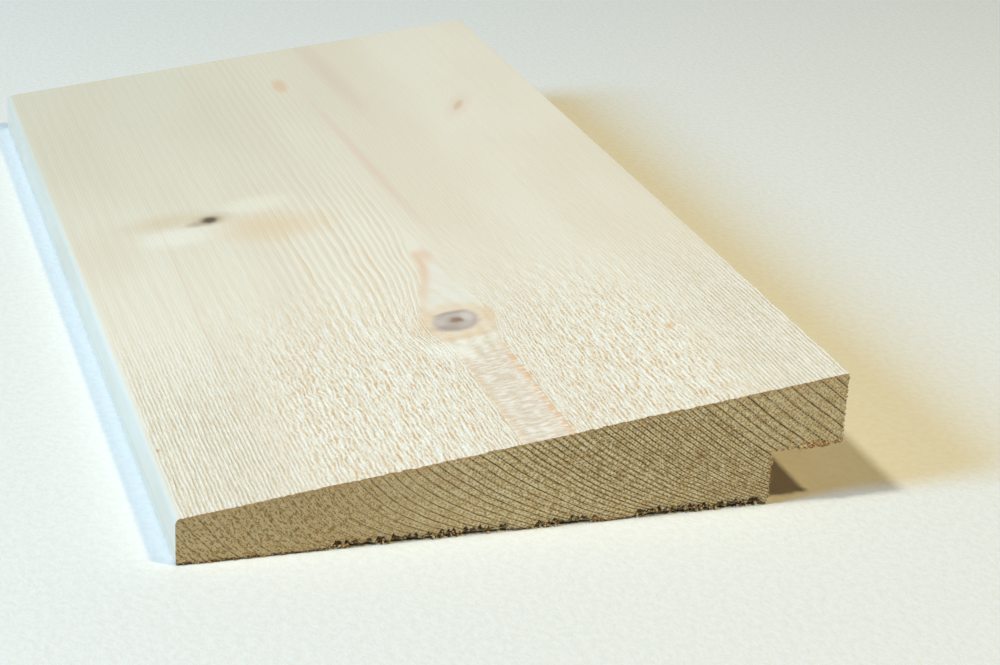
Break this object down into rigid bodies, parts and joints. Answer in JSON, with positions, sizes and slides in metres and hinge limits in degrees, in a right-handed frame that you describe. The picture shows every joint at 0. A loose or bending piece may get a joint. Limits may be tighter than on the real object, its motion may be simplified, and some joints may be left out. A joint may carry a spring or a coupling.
{
  "type": "bevel siding board",
  "caption": "Tapered softwood siding board with a sawn weather face, planed back and edges, and a rabbet along its thick edge that laps over the thin edge of the next board.",
  "frame": {"origin": "middle of the back face, half way along the board", "axes": "+X from the thin edge to the butt edge, +Y along the grain, +Z out of the back face towards the weather face"},
  "size_m": [0.125, 0.25, 0.0255],
  "materials": {
    "timber": "unfinished pale spruce: sawn weather face and ends, planed back and edges"
  },
  "bodies": {
    "root": {"siding_board": "timber"}
  },
  "joints": []
}
